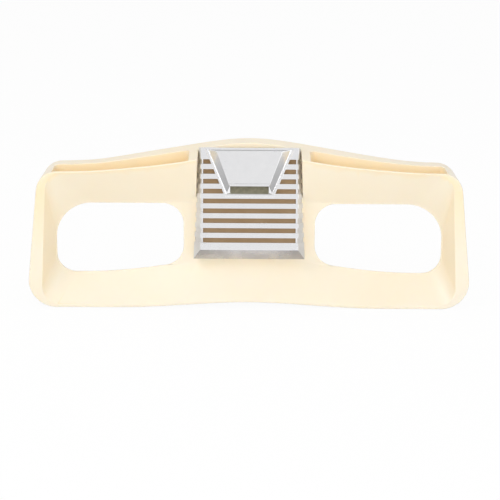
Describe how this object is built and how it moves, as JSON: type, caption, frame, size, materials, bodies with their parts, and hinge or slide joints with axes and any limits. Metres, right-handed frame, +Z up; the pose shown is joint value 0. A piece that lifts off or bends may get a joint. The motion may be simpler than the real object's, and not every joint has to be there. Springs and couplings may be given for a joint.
{
  "type": "dashboard fascia",
  "caption": "Cream moulded dashboard fascia with open glove-box mouths either side of a chromed louvred speaker grille that carries a pull-out ashtray drawer.",
  "frame": {"origin": "middle of the part across its width and its depth, on the level of its underside", "axes": "+X to the right as the driver sees it, +Y to the back, away from the driver, +Z up"},
  "size_m": [0.996, 0.12, 0.368],
  "materials": {
    "cream_moulding": "semi-gloss",
    "plated_casting": "polished",
    "brown_cloth": "woven",
    "felt": "felt",
    "hardboard": "smooth",
    "brass": "turned",
    "zinc_steel": "zinc plated",
    "bright_sheet": "pressed",
    "black_sheet": "satin",
    "rivet_alloy": "satin"
  },
  "bodies": {
    "fascia": {"fascia_moulding": "cream_moulding", "boss_inserts": "brass", "grille_casting": "plated_casting", "grille_seal": "felt", "grille_cloth": "brown_cloth", "baffle_board": "hardboard", "grille_studs": "zinc_steel", "grille_spacers": "zinc_steel", "grille_washers": "zinc_steel", "grille_nuts": "zinc_steel", "ashtray_housing": "black_sheet", "housing_screws": "zinc_steel", "ashtray_runner_left": "bright_sheet", "ashtray_runner_right": "bright_sheet", "ashtray_spring": "bright_sheet", "spring_rivet": "rivet_alloy"},
    "ashtray": {"ashtray_front": "plated_casting", "ashtray_bin": "bright_sheet", "front_rivets": "rivet_alloy", "stubbing_plate": "bright_sheet"}
  },
  "joints": [
    {"name": "ashtray_slide", "type": "slide", "parent": "fascia", "child": "ashtray", "axis": [0, -0.9781, 0.2079], "range_m": [0, 0.048]}
  ]
}
